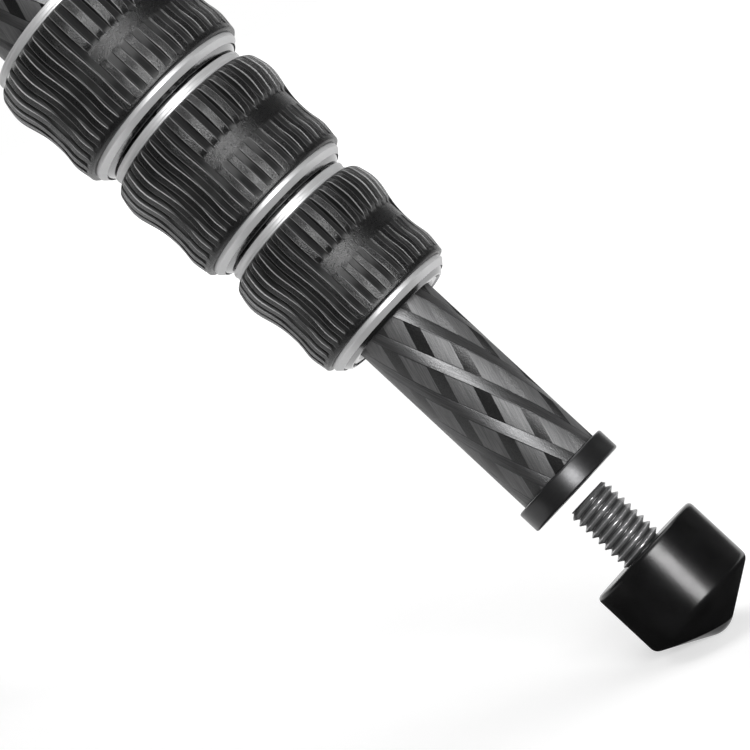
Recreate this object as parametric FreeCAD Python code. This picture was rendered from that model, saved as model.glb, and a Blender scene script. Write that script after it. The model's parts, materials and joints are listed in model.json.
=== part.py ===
import FreeCAD, Part
import os
from math import atan, cos, pi, radians, sin, sqrt
from FreeCAD import Placement, Rotation, Vector

# Travel tripod with three four-section twist-lock legs and a centre column.
# Millimetres, +Z up, origin on the floor under the centre column.
# Leg 1 points to -Y and has its foot unscrewed. Legs 2 and 3 have their feet
# screwed home and their lowest section pulled out by the same amount.

# Stance
leg_angle = 24.0
leg_count = 3
first_leg_azimuth = -90.0
pivot_radius = 40.0

# Carbon tubes: the thinnest one, the step from one section to the next, the wall,
# and the room left above the folded second section
thin_tube_r = 9.1
tube_step = 1.767
tube_wall = 1.2
tube_length = 310.0
section_travel = 250.0
section_headroom = 8.0

# Twist locks, measured from a lock's lower face upwards, for the thinnest lock
lock_height = 28.0
lock_gap = 0.4
lock_step = 1.95
ring_r = 14.4
ring_band = 0.9
ring_chamfer = 2.0
rim_height = 1.8
rim_edge = 0.5
key_inset = 1.5
sleeve_seat = 7.6
tube_seat_gap = 0.4
collar_clearance = 0.3
passage_clearance = 0.4
sleeve_sides = 24
key_sides = 12

# Rubber grips: ribs with their depth as a share of the radius, and the wavy
# outline as height share and crest radius
rib_count = 36
rib_share = 0.045
grip_outline = ((0.0, 15.2), (0.19, 15.95), (0.38, 15.45), (0.82, 16.85), (1.0, 14.7))

# How far the lowest section stands out of its lock, and its whole length
section_out = 41.0
thin_tube_length = 290.0

# End ring, stud and foot
end_ring_r = 10.75
end_ring_height = 4.6
end_plug_length = 14.0
thread_r = 4.7625
thread_clearance = 0.0875
stud_length = 14.1
stud_root = 7.0
foot_gap = 2.2
foot_seat_gap = 0.1
foot_r = 12.3
foot_height = 14.4
foot_cone = 7.2
foot_tip_r = 4.9
foot_tip_steps = 3
foot_sides = 36
foot_edge = 0.8

# Leg head and angle latch
socket_r = 16.4
socket_length = 22.0
socket_floor = 4.0
fork_reach = 18.0
fork_eye_r = 9.5
fork_foot = 10.4
fork_wall = 5.5
fork_clearance = 0.1
latch_travel = 3.0
latch_tooth = 2.8
latch_plate = 3.8
latch_tab = 2.0
latch_tab_drop = 10.0
latch_side_gap = 0.2
latch_seat_gap = 0.2
latch_tab_gap = 0.5

# Spider
lug_width = 14.0
cam_r = 9.2
cam_clearance = 0.4
notch_clearance = 0.2
notch_leg_angles = (24.0, 55.0, 80.0, 180.0)
bolt_r = 4.0
bolt_clearance = 0.05
bolt_head_r = 6.2
bolt_head_height = 2.2
hub_r = 22.0
hub_below = 13.0
hub_above = 10.0
hub_chamfer = 2.0
neck_inset = 4.0

# Centre column
column_r = 12.5
column_wall = 1.5
column_clearance = 0.05
column_travel = 220.0
column_spare = 3.0
bush_wall = 2.4
cap_r = 13.6
cap_height = 4.0
cap_plug = 12.0

# Column twist lock
column_lock_height = 14.0
column_lock_r = 19.0
column_ring_r = 17.4
column_lock_gap = 0.3
column_lock_band = 2.6

# Platform and camera screw
plate_r = 21.0
plate_height = 4.0
plate_neck = 4.5
plate_neck_wall = 2.6
plate_rest_gap = 0.4
camera_screw_length = 8.0
screw_shoulder_r = 6.0
screw_head_r = 8.0
screw_head_height = 4.0

# Worked out from the values above
lock_pitch = lock_height + lock_gap
tube_r = [thin_tube_r + tube_step * n for n in (3, 2, 1, 0)]
lock_offset = [lock_step * n for n in (2, 1, 0)]
socket_depth = fork_reach + socket_floor
second_tube_bottom = socket_depth + section_headroom + tube_length
tube_bottom = [second_tube_bottom + lock_pitch * n for n in (-1, 0, 1)]
lock_face = [bottom + sleeve_seat + tube_seat_gap for bottom in tube_bottom]
end_ring_face = lock_face[2] + section_out
foot_out = foot_gap + stud_length - foot_seat_gap
foot_face = end_ring_face + end_ring_height + foot_seat_gap
foot_half_angle = atan(foot_r / foot_cone)
foot_ball = foot_height + foot_cone - foot_tip_r / sin(foot_half_angle)
fork_half = lug_width / 2 + fork_clearance
tooth_top = cam_r + cam_clearance
notch_floor = tooth_top - latch_travel - cam_clearance
tilt = radians(leg_angle)
foot_depth = foot_face + foot_out + foot_ball
pivot_height = foot_depth * cos(tilt) + foot_tip_r
bush_bore_r = column_r + column_clearance
hub_bore_r = bush_bore_r + bush_wall
column_lock_base = hub_above + column_lock_gap
plate_base = column_lock_base + column_lock_height + plate_rest_gap
plate_under = plate_base + plate_neck
plate_top = plate_under + plate_height
column_bottom = -hub_below - column_travel - column_spare


def turned(points):
    """A solid of revolution about Z from its (radius, height) outline."""
    outline = [Vector(r, 0, z) for r, z in points]
    wire = Part.makePolygon(outline + outline[:1])
    return Part.Face(wire).revolve(Vector(), Vector(0, 0, 1), 360)


def tube(outer_r, bore_r, bottom, top):
    """A plain round tube on the Z axis."""
    return turned([(bore_r, bottom), (outer_r, bottom), (outer_r, top), (bore_r, top)])


def polygon(sides, flat_r, z):
    """A closed regular polygon whose flats lie flat_r from the axis."""
    corner_r = flat_r / cos(pi / sides)
    angles = [2 * pi * (n + 0.5) / sides for n in range(sides)]
    corners = [Vector(corner_r * cos(a), corner_r * sin(a), z) for a in angles]
    return Part.makePolygon(corners + corners[:1])


def flat_sided(sections):
    """A bar through closed polygons, with a plane face on every side."""
    faces = []
    for side in Part.makeLoft(sections, True, True).Faces:
        corners = [vertex.Point for vertex in side.OuterWire.OrderedVertexes]
        faces.append(Part.Face(Part.makePolygon(corners + corners[:1])))
    shell = Part.Shell(faces)
    shell.sewShape()
    return Part.Solid(shell)


def faceted(sides, outline):
    """A many-sided bar through (height, distance of the flats) pairs."""
    return flat_sided([polygon(sides, r, z) for z, r in outline])


def ribbed(outline):
    """A bar with a V-shaped rib at each crest, through (height, crest radius) pairs."""
    sections = []
    for z, crest_r in outline:
        points = []
        for n in range(2 * rib_count):
            r = crest_r * (1 - rib_share * (n % 2))
            a = pi * n / rib_count
            points.append(Vector(r * cos(a), r * sin(a), z))
        sections.append(Part.makePolygon(points + points[:1]))
    return flat_sided(sections)


def slab(points, half_width):
    """A plate from its (outward, up) outline, centred on the pivot's middle plane."""
    outline = [Vector(-half_width, y, z) for y, z in points]
    face = Part.Face(Part.makePolygon(outline + outline[:1]))
    return face.extrude(Vector(2 * half_width, 0, 0))


def across(radius, half_width):
    """A round bar along the pivot axis."""
    return Part.makeCylinder(radius, 2 * half_width, Vector(-half_width, 0, 0), Vector(1, 0, 0))


def lock_sleeve(index):
    """Aluminium sleeve: chamfered ring below, keyed barrel, bright rim above."""
    offset = lock_offset[index]
    ring_top = ring_chamfer + ring_band
    rim_base = lock_height - rim_height
    big_r = ring_r + offset
    ring = faceted(sleeve_sides, [(0, big_r - ring_chamfer), (ring_chamfer, big_r), (ring_top, big_r)])
    barrel = faceted(key_sides, [(ring_top, big_r - key_inset), (rim_base, big_r - key_inset)])
    rim_top = lock_height - rim_edge
    rim = faceted(sleeve_sides, [(rim_base, big_r), (rim_top, big_r), (lock_height, big_r - rim_edge)])
    passage_r = tube_r[index + 1] + passage_clearance
    passage = faceted(key_sides, [(-1, passage_r), (sleeve_seat + 1, passage_r)])
    collar_r = tube_r[index] + collar_clearance
    collar = faceted(key_sides, [(sleeve_seat, collar_r), (lock_height + 1, collar_r)])
    return ring.fuse([barrel, rim]).cut(passage).cut(collar)


def lock_grip(index):
    """Rubber grip round the sleeve's barrel, with a double bulge and full-length ribs."""
    base = ring_chamfer + ring_band
    height = lock_height - rim_height - base
    outline = [(base + share * height, r + lock_offset[index]) for share, r in grip_outline]
    key_r = ring_r + lock_offset[index] - key_inset
    key = faceted(key_sides, [(base - 1, key_r), (base + height + 1, key_r)])
    return ribbed(outline).cut(key)


def end_ring():
    """Threaded plug in the lowest tube, with a flange as its end ring."""
    flange = Part.makeCylinder(end_ring_r, end_ring_height, Vector(0, 0, -end_ring_height))
    plug_r = (thin_tube_r - tube_wall) * cos(pi / key_sides)
    plug = faceted(key_sides, [(0, plug_r), (end_plug_length, plug_r)])
    bore_length = end_ring_height + end_plug_length
    bore = Part.makeCylinder(thread_r + thread_clearance, bore_length, Vector(0, 0, -end_ring_height))
    return flange.fuse(plug).cut(bore)


def foot_pad():
    """Rubber foot: short cylinder and blunt cone with a rounded tip, bored for the stud."""
    outline = [(0, foot_r - foot_edge), (-foot_edge, foot_r), (-foot_height, foot_r)]
    for n in range(foot_tip_steps):
        a = foot_half_angle + (pi / 2 - foot_half_angle) * n / foot_tip_steps
        outline.append((-foot_ball - foot_tip_r * sin(a), foot_tip_r * cos(a)))
    bore = Part.makeCylinder(thread_r, 2 * stud_root, Vector(0, 0, -stud_root))
    return faceted(foot_sides, outline).cut(bore)


def leg_head():
    """Fork casting: two ears on the hinge bolt over a socket for the upper tube."""
    top = -fork_reach
    floor = -socket_depth
    mouth = floor - socket_length
    socket = turned([(0, top), (0, floor), (tube_r[0], floor), (tube_r[0], mouth), (socket_r, mouth), (socket_r, top)])
    ears = slab([(fork_eye_r, 0), (fork_foot, floor), (-fork_foot, floor), (-fork_eye_r, 0)], fork_half + fork_wall)
    ears = ears.fuse(across(fork_eye_r, fork_half + fork_wall))
    gap = Part.makeBox(2 * fork_half, 4 * socket_r, fork_eye_r + fork_reach, Vector(-fork_half, -2 * socket_r, top))
    hole = across(bolt_r + bolt_clearance, 2 * fork_half)
    return ears.cut(gap).cut(hole).fuse(socket).removeSplitter()


def angle_latch():
    """Latch in the fork: a tooth that points at the pivot and a bent thumb tab outside."""
    seat = -fork_reach + latch_seat_gap
    plate = seat + latch_plate
    tooth = latch_tooth / 2
    tab_in = socket_r + latch_tab_gap
    tab_out = tab_in + latch_tab
    return slab([
        (-tooth, -tooth_top),
        (tooth, -tooth_top),
        (tooth, plate),
        (tab_out, plate),
        (tab_out, plate - latch_tab_drop),
        (tab_in, plate - latch_tab_drop),
        (tab_in, seat),
        (-tooth, seat),
    ], fork_half - latch_side_gap)


def hinge_bolt():
    """Hinge bolt with a flat many-sided head at each end."""
    grip = fork_half + fork_wall + fork_clearance
    head = faceted(key_sides, [(grip, bolt_head_r), (grip + bolt_head_height, bolt_head_r)])
    head.rotate(Vector(), Vector(0, 1, 0), 90)
    other = head.mirror(Vector(), Vector(1, 0, 0))
    return across(bolt_r, grip).fuse([head, other])


def lug():
    """Spider lug: round cam with latch notches, a bolt hole and a neck to the hub."""
    inner = hub_bore_r + bush_wall - pivot_radius
    rise = sqrt(cam_r ** 2 - neck_inset ** 2)
    neck = slab([
        (-neck_inset, rise),
        (-neck_inset, -rise),
        (inner, hub_chamfer - hub_below),
        (inner, hub_above - hub_chamfer),
    ], lug_width / 2)
    shape = across(cam_r, lug_width / 2).fuse(neck)
    half_notch = latch_tooth / 2 + notch_clearance
    for angle in notch_leg_angles:
        notch = Part.makeBox(2 * lug_width, 2 * half_notch, cam_r, Vector(-lug_width, -half_notch, -notch_floor - cam_r))
        notch.rotate(Vector(), Vector(1, 0, 0), angle)
        shape = shape.cut(notch)
    return shape.cut(across(bolt_r, lug_width)).removeSplitter()


def hub():
    """Spider hub: a bevelled ring round the column bush."""
    return turned([
        (hub_bore_r, -hub_below),
        (hub_r - hub_chamfer, -hub_below),
        (hub_r, hub_chamfer - hub_below),
        (hub_r, hub_above - hub_chamfer),
        (hub_r - hub_chamfer, hub_above),
        (hub_bore_r, hub_above),
    ])


def column_lock_sleeve():
    """Aluminium sleeve of the column's twist lock."""
    base = column_lock_base
    band_top = base + column_lock_band
    top = base + column_lock_height
    ring = faceted(sleeve_sides, [(base, column_ring_r), (band_top, column_ring_r)])
    barrel = faceted(key_sides, [(band_top, column_ring_r - key_inset), (top, column_ring_r - key_inset)])
    bore_r = column_r + passage_clearance
    bore = faceted(key_sides, [(base - 1, bore_r), (top + 1, bore_r)])
    return ring.fuse(barrel).cut(bore)


def column_lock_grip():
    """Ribbed rubber grip of the column's twist lock."""
    base = column_lock_base + column_lock_band
    top = column_lock_base + column_lock_height
    swell = (base + top) / 2
    end_r = column_lock_r * (1 - rib_share)
    outline = [(base, end_r), (swell, column_lock_r), (top, end_r)]
    key_r = column_ring_r - key_inset
    return ribbed(outline).cut(faceted(key_sides, [(base - 1, key_r), (top + 1, key_r)]))


def top_plate():
    """Round platform with a neck that holds the column tube."""
    neck_r = column_r + plate_neck_wall
    return turned([
        (column_r, plate_base),
        (neck_r, plate_base),
        (neck_r, plate_under),
        (plate_r, plate_under),
        (plate_r, plate_top),
        (screw_shoulder_r, plate_top),
        (screw_shoulder_r, plate_under),
        (column_r, plate_under),
    ])


def camera_screw():
    """Camera screw: a thread on a wider shoulder in the platform, with a six-sided head below."""
    head = faceted(6, [(plate_under - screw_head_height, screw_head_r), (plate_under, screw_head_r)])
    shoulder = Part.makeCylinder(screw_shoulder_r, plate_height, Vector(0, 0, plate_under))
    thread = Part.makeCylinder(thread_r, camera_screw_length, Vector(0, 0, plate_top))
    return head.fuse([shoulder, thread])


def column_cap():
    """Bottom cap of the column tube, which also stops the column at full height."""
    disc = Part.makeCylinder(cap_r, cap_height, Vector(0, 0, column_bottom - cap_height))
    plug_r = (column_r - column_wall) * cos(pi / key_sides)
    return disc.fuse(faceted(key_sides, [(column_bottom, plug_r), (column_bottom + cap_plug, plug_r)]))


def leg_tube(index, shift):
    """One carbon tube of a leg: 0 is the upper one, 3 the thinnest."""
    if index == 0:
        top, bottom = socket_depth, tube_bottom[0]
    elif index < 3:
        top, bottom = tube_bottom[index] - tube_length, tube_bottom[index]
    else:
        top, bottom = end_ring_face + shift - thin_tube_length, end_ring_face + shift
    return tube(tube_r[index], tube_r[index] - tube_wall, -bottom, -top)


def leg_pieces(foot_unscrewed):
    """All pieces of one leg, with the pivot at the origin and the leg hanging down."""
    foot_shift = foot_out
    section_shift = 0.0
    if not foot_unscrewed:
        section_shift = foot_out
    pieces = {"head": leg_head(), "latch": angle_latch()}
    for index, name in enumerate(("upper_tube", "tube_2", "tube_3", "tube_4")):
        pieces[name] = leg_tube(index, section_shift)
    for index, letter in enumerate("abc"):
        place = Vector(0, 0, -lock_face[index])
        pieces["ring_" + letter] = lock_sleeve(index).translated(place)
        pieces["grip_" + letter] = lock_grip(index).translated(place)
    pieces["end_ring"] = end_ring().translated(Vector(0, 0, -end_ring_face - section_shift))
    foot_place = Vector(0, 0, -foot_face - foot_shift)
    stud = Part.makeCylinder(thread_r, stud_root + stud_length, Vector(0, 0, -stud_root))
    pieces["foot_stud"] = stud.translated(foot_place)
    pieces["foot_pad"] = foot_pad().translated(foot_place)
    return pieces


def azimuth(number):
    """Direction of a leg, in degrees from +X."""
    return first_leg_azimuth + 360.0 * (number - 1) / leg_count


def pivot_place(number):
    """Placement of a leg's pivot, with the outward direction along local +Y."""
    spin = Rotation(Vector(0, 0, 1), azimuth(number) - 90.0)
    return Placement(spin.multVec(Vector(0, pivot_radius, 0)) + Vector(0, 0, pivot_height), spin)


def build():
    """All nodes of the tripod, by name."""
    lift = Vector(0, 0, pivot_height)
    nodes = {}
    spider = hub().translated(lift)
    bolts = []
    for number in range(1, leg_count + 1):
        place = pivot_place(number)
        spider = spider.fuse(lug().transformed(place.toMatrix()))
        bolts.append(hinge_bolt().transformed(place.toMatrix()))
        lean = place.multiply(Placement(Vector(), Rotation(Vector(1, 0, 0), leg_angle)))
        for name, shape in leg_pieces(number == 1).items():
            nodes["leg_%d_%s" % (number, name)] = shape.transformed(lean.toMatrix())
    column_hole = Part.makeCylinder(hub_bore_r, 4 * hub_r, Vector(0, 0, -2 * hub_r)).translated(lift)
    nodes["spider"] = spider.cut(column_hole)
    nodes["hinge_bolts"] = Part.makeCompound(bolts)
    nodes["column_bush"] = tube(hub_bore_r, bush_bore_r, -hub_below, hub_above).translated(lift)
    nodes["column_tube"] = tube(column_r, column_r - column_wall, column_bottom, plate_under).translated(lift)
    nodes["top_plate"] = top_plate().translated(lift)
    nodes["camera_screw"] = camera_screw().translated(lift)
    nodes["column_cap"] = column_cap().translated(lift)
    nodes["column_lock_ring"] = column_lock_sleeve().translated(lift)
    nodes["column_lock_grip"] = column_lock_grip().translated(lift)
    return nodes


os.makedirs("parts", exist_ok=True)
for node, solid in sorted(build().items()):
    solid.exportStep("parts/%s.step" % node)
    print("%-20s %s volume %.1f" % (node, solid.isValid(), solid.Volume))
print("pivot height %.3f" % pivot_height)
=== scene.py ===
import json
import bmesh
import bpy
import numpy as np
from mathutils import Matrix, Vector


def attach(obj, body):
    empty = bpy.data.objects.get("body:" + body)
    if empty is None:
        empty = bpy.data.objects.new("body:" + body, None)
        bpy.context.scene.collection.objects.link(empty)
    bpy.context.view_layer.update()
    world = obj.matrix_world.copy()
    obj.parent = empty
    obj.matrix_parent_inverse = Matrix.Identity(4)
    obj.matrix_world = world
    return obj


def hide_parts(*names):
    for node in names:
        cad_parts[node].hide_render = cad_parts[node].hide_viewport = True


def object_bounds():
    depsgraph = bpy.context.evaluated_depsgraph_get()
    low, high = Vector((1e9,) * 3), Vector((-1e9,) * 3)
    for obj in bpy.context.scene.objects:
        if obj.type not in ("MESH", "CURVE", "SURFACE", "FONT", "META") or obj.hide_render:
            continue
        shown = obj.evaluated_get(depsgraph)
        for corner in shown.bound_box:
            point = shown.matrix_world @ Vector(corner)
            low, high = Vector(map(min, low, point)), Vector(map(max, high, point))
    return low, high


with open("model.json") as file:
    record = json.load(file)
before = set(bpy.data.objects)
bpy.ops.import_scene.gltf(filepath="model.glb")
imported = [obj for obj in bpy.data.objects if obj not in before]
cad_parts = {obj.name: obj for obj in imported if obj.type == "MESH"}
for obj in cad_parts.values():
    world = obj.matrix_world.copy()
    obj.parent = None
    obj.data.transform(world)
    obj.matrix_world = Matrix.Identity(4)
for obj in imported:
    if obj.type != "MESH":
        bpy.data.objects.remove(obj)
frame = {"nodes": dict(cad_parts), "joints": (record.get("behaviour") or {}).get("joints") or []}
cad_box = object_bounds()

# The photograph's view. A long lens looks from low down at the lower end of
# leg 1, rolled so that the leg runs from the upper left to the lower right.
joints = {joint["name"]: joint for joint in frame["joints"]}
LEGS = (1, 2, 3)
VIEW_TURN = np.radians(30)
VIEW_TILT = np.radians(4.8)
VIEW_ROLL = np.radians(-43)
VIEW_DISTANCE = 0.560
VIEW_WIDTH = 0.139
AIM_DEPTH = 0.3802
AIM_OFFSET = 0.01007


def leg_axes(leg):
    """A leg's hinge point and unit directions: outwards, sideways and down its tubes."""
    swing = joints[f"leg_{leg}_swing"]
    side = np.array(swing["axis"])
    down = np.array(joints[f"leg_{leg}_section_2_slide"]["axis"])
    return np.array(swing["pos_m"]), np.cross(side, down), side, down


hinge, outward, sideways, down = leg_axes(1)
to_camera = sideways * np.cos(VIEW_TURN) + outward * np.sin(VIEW_TURN)
to_camera = to_camera * np.cos(VIEW_TILT) + down * np.sin(VIEW_TILT)
along_leg = down - (down @ to_camera) * to_camera
along_leg /= np.linalg.norm(along_leg)
beside_leg = np.cross(to_camera, along_leg)
right = np.cos(VIEW_ROLL) * along_leg - np.sin(VIEW_ROLL) * beside_leg
aim = hinge + down * AIM_DEPTH - beside_leg * AIM_OFFSET

camera = bpy.data.objects.new("camera", bpy.data.cameras.new("camera"))
turned_to = np.eye(4)
turned_to[:3, :3] = np.stack([right, np.cross(to_camera, right), to_camera], axis=1)
turned_to[:3, 3] = aim + to_camera * VIEW_DISTANCE
camera.matrix_world = Matrix(turned_to)
camera.data.lens = camera.data.sensor_width * VIEW_DISTANCE / VIEW_WIDTH
camera.data.clip_start = 0.01
bpy.context.collection.objects.link(camera)
bpy.context.scene.camera = camera
bpy.context.scene.view_settings.view_transform = "Standard"


# The studio. A pale floor runs out to a white surround, soft lamps light the
# tripod from the sides, from above and from behind, and dark cards that only
# reflections show stand round it.
FLOOR_SIZE = 30.0
FLOOR_GLOW = 0.50
WORLD_FILL = 0.24
CARD_DISTANCE = 1.6
CARD_HEIGHT = 2.4
CARD_STEPS = 24
FLOOR_CARD_START = 0.17
FLOOR_CARD_LIFT = 0.002


def add(tree, kind, settings=None, sockets=None):
    """A shader node with its settings, and its inputs by place or name: values or links."""
    node = tree.nodes.new("ShaderNode" + kind)
    for key, value in (settings or {}).items():
        setattr(node, key, value)
    for key, value in (sockets or {}).items():
        if isinstance(value, bpy.types.NodeSocket):
            tree.links.new(value, node.inputs[key])
        else:
            node.inputs[key].default_value = value
    return node


def surfaced(name):
    """A new material with an empty tree."""
    material = bpy.data.materials.new(name)
    material.use_nodes = True
    material.node_tree.nodes.clear()
    return material, material.node_tree


def seen_directly(tree):
    """1 for rays of the camera and of mirror images, and 0 for light on rough surfaces."""
    path = add(tree, "LightPath")
    shown = add(tree, "Math", {"operation": "MAXIMUM"},
                {0: path.outputs["Is Camera Ray"], 1: path.outputs["Is Glossy Ray"]})
    return add(tree, "Math", {"operation": "MAXIMUM"},
               {0: shown.outputs[0], 1: path.outputs["Is Transmission Ray"]}).outputs[0]


def studio_world():
    """White where it is seen, and a soft grey fill where it lights."""
    world = bpy.data.worlds.new("studio")
    world.use_nodes = True
    tree = world.node_tree
    tree.nodes.clear()
    strength = add(tree, "MapRange", None,
                   {"Value": seen_directly(tree), "To Min": WORLD_FILL, "To Max": 1.0})
    light = add(tree, "Background", None, {"Color": (1, 1, 1, 1), "Strength": strength.outputs[0]})
    add(tree, "OutputWorld", None, {"Surface": light.outputs[0]})
    bpy.context.scene.world = world


def floor_finish():
    """Pale matt floor that reads as white where it is seen, and still takes shadows."""
    material, tree = surfaced("pale_floor")
    place = add(tree, "TexCoord").outputs["Object"]
    speckle = add(tree, "TexNoise", None, {"Vector": place, "Scale": 40.0, "Detail": 3.0})
    tone = add(tree, "MapRange", None, {"Value": speckle.outputs["Fac"], "To Min": 0.60, "To Max": 0.64})
    matt = add(tree, "BsdfDiffuse", None, {"Color": tone.outputs[0]})
    away = add(tree, "VectorMath", {"operation": "LENGTH"}, {0: place}).outputs["Value"]
    shine = add(tree, "MapRange", None, {"Value": away, "From Min": 0.5, "From Max": 2.4,
                                         "To Min": FLOOR_GLOW, "To Max": 1.05}).outputs[0]
    glow = add(tree, "MapRange", None, {"Value": seen_directly(tree), "To Min": 0.0, "To Max": shine})
    lit = add(tree, "Emission", None, {"Color": (1, 1, 1, 1), "Strength": glow.outputs[0]})
    both = add(tree, "AddShader", None, {0: matt.outputs[0], 1: lit.outputs[0]})
    add(tree, "OutputMaterial", None, {"Surface": both.outputs[0]})
    return material


def lamp(name, place, size, power):
    """A square soft lamp that faces the tripod's middle."""
    light = bpy.data.lights.new(name, "AREA")
    light.size = size
    light.energy = power
    holder = bpy.data.objects.new(name, light)
    aim_at = (np.array(cad_box[0]) + np.array(cad_box[1])) / 2
    back = np.array(place) - aim_at
    back /= np.linalg.norm(back)
    across = np.cross((0.0, 0.0, 1.0), back)
    across /= np.linalg.norm(across)
    pose = np.eye(4)
    pose[:3, :3] = np.stack([across, np.cross(back, across), back], axis=1)
    pose[:3, 3] = place
    holder.matrix_world = Matrix(pose)
    holder.visible_camera = False
    bpy.context.collection.objects.link(holder)


def card(name, near, far, first_turn, last_turn):
    """A dark studio card that only reflections show.

    It spans two arcs round the column, each given by how far out and how high it
    is, between two turns in degrees.
    """
    turns = np.radians(np.linspace(first_turn, last_turn, CARD_STEPS + 1))
    points = [(away * np.cos(turn), away * np.sin(turn), high)
              for away, high in (near, far) for turn in turns]
    faces = [(n, n + 1, n + CARD_STEPS + 2, n + CARD_STEPS + 1) for n in range(CARD_STEPS)]
    mesh = bpy.data.meshes.new(name)
    mesh.from_pydata(points, [], faces)
    material, tree = surfaced(name)
    weave = add(tree, "TexNoise", None, {"Scale": 60.0})
    tone = add(tree, "MapRange", None, {"Value": weave.outputs["Fac"], "To Min": 0.03, "To Max": 0.05})
    matt = add(tree, "BsdfDiffuse", None, {"Color": tone.outputs[0]})
    add(tree, "OutputMaterial", None, {"Surface": matt.outputs[0]})
    mesh.materials.append(material)
    holder = bpy.data.objects.new(name, mesh)
    holder.visible_camera = False
    holder.visible_diffuse = False
    holder.visible_shadow = False
    bpy.context.collection.objects.link(holder)


studio_world()
floor = bpy.data.objects.new("floor", bpy.data.meshes.new("floor"))
half = FLOOR_SIZE / 2
floor_corners = [(-half, -half, 0), (half, -half, 0), (half, half, 0), (-half, half, 0)]
floor.data.from_pydata(floor_corners, [], [(0, 1, 2, 3)])
floor.data.materials.append(floor_finish())
bpy.context.collection.objects.link(floor)
lamp("key_lamp", (-1.77, -1.68, 0.70), 0.95, 62.0)
lamp("top_lamp", (0.3, -0.3, 2.6), 1.6, 20.0)
lamp("back_lamp", (1.3, 1.9, 1.2), 1.2, 22.0)
lamp("right_lamp", (2.2, -1.2, 0.9), 1.0, 6.0)
card("left_card", (CARD_DISTANCE, 0.0), (CARD_DISTANCE, CARD_HEIGHT), 95, 205)
card("right_card", (CARD_DISTANCE, 0.0), (CARD_DISTANCE, CARD_HEIGHT), 250, 350)
card("floor_card", (FLOOR_CARD_START, FLOOR_CARD_LIFT), (CARD_DISTANCE, FLOOR_CARD_LIFT), 95, 282)


# The spider. A cast hub with three lugs, each a round cam with notches that the
# leg's latch drops into; the casting has a fine dark textured paint.
CAST_EDGE = 0.0006


def surface_noise(tree, scale, detail=4.0):
    """Noise in the object's own coordinates, in cells to the metre."""
    place = add(tree, "TexCoord")
    sockets = {"Vector": place.outputs["Object"], "Scale": scale, "Detail": detail}
    return add(tree, "TexNoise", None, sockets).outputs["Fac"]


def spread(tree, value, low, high):
    """A value from 0.3 to 0.7, as noise mostly is, stretched to run from low to high."""
    return add(tree, "MapRange", None, {"Value": value, "From Min": 0.3, "From Max": 0.7,
                                        "To Min": low, "To Max": high}).outputs[0]


def toned(tree, value, dark, light):
    """A colour between two, by a value from 0 to 1."""
    return add(tree, "Mix", {"data_type": "RGBA"},
               {0: value, 6: (*dark, 1.0), 7: (*light, 1.0)}).outputs[2]


def raised(tree, height, distance, strength=1.0, normal=None):
    """A bump of that height in metres."""
    sockets = {"Height": height, "Distance": distance, "Strength": strength}
    if normal is not None:
        sockets["Normal"] = normal
    return add(tree, "Bump", None, sockets).outputs[0]


def shaded(tree, settings):
    """The material's surface shader, linked to its output."""
    shader = add(tree, "BsdfPrincipled", None, settings)
    add(tree, "OutputMaterial", None, {"Surface": shader.outputs[0]})


def worn(tree, dark, light):
    """Paint that is a little lighter along its outer edges, where hands have rubbed it."""
    edge = add(tree, "NewGeometry").outputs["Pointiness"]
    rubbed = add(tree, "MapRange", {"interpolation_type": "SMOOTHSTEP"},
                 {"Value": edge, "From Min": 0.52, "From Max": 0.62}).outputs[0]
    patchy = add(tree, "Math", {"operation": "MULTIPLY"},
                 {0: rubbed, 1: spread(tree, surface_noise(tree, 300.0), 0.0, 1.0)}).outputs[0]
    return toned(tree, patchy, dark, light)


def casting_finish():
    """Dark paint with a fine grain over cast metal."""
    material, tree = surfaced("casting")
    grain = surface_noise(tree, 2600.0, 2.0)
    shaded(tree, {
        "Base Color": worn(tree, (0.030, 0.030, 0.032), (0.085, 0.085, 0.088)),
        "Roughness": spread(tree, surface_noise(tree, 120.0), 0.42, 0.56),
        "Metallic": 0.35,
        "Specular IOR Level": 0.4,
        "Normal": raised(tree, grain, 0.00005, 0.8),
    })
    return material


def settled(piece, body, nodes):
    """Puts a finished piece in the scene, on its body, in place of its CAD nodes."""
    bpy.context.collection.objects.link(piece)
    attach(piece, body)
    if nodes:
        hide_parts(*nodes)


def eased(name, node, material, edge, body):
    """A CAD node's own form with its doubles merged and its edges rounded by a bevel."""
    mesh = frame["nodes"][node].data.copy()
    mesh.materials.clear()
    form = bmesh.new()
    form.from_mesh(mesh)
    bmesh.ops.remove_doubles(form, verts=form.verts, dist=1e-6)
    bmesh.ops.dissolve_limit(form, angle_limit=0.01, verts=form.verts, edges=form.edges)
    bmesh.ops.recalc_face_normals(form, faces=form.faces)
    form.to_mesh(mesh)
    form.free()
    mesh.shade_smooth()
    mesh.materials.append(material)
    piece = bpy.data.objects.new(name, mesh)
    bevel = piece.modifiers.new("rounded edges", "BEVEL")
    bevel.width = edge
    bevel.segments = 3
    bevel.limit_method = "ANGLE"
    bevel.angle_limit = np.radians(24)
    bevel.harden_normals = True
    settled(piece, body, [node])


casting = casting_finish()
eased("spider_casting", "spider", casting, CAST_EDGE, "spider")


# The column's bush and tube. A nylon bush in the hub guides the carbon column,
# which is wound from crossing tapes and carries the platform and a bottom cap.
UP = np.array([0.0, 0.0, 1.0])
ROUND = 96
TAPE_WIDTH = 0.00635
TAPE_PITCH = 0.01755
TAPE_START = 0.053
COLUMN_WALL = 0.0015
BUSH_GAP = 0.00005
CAP_PLUG = 0.012
CAP_PLUG_GAP = 0.0003


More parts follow.
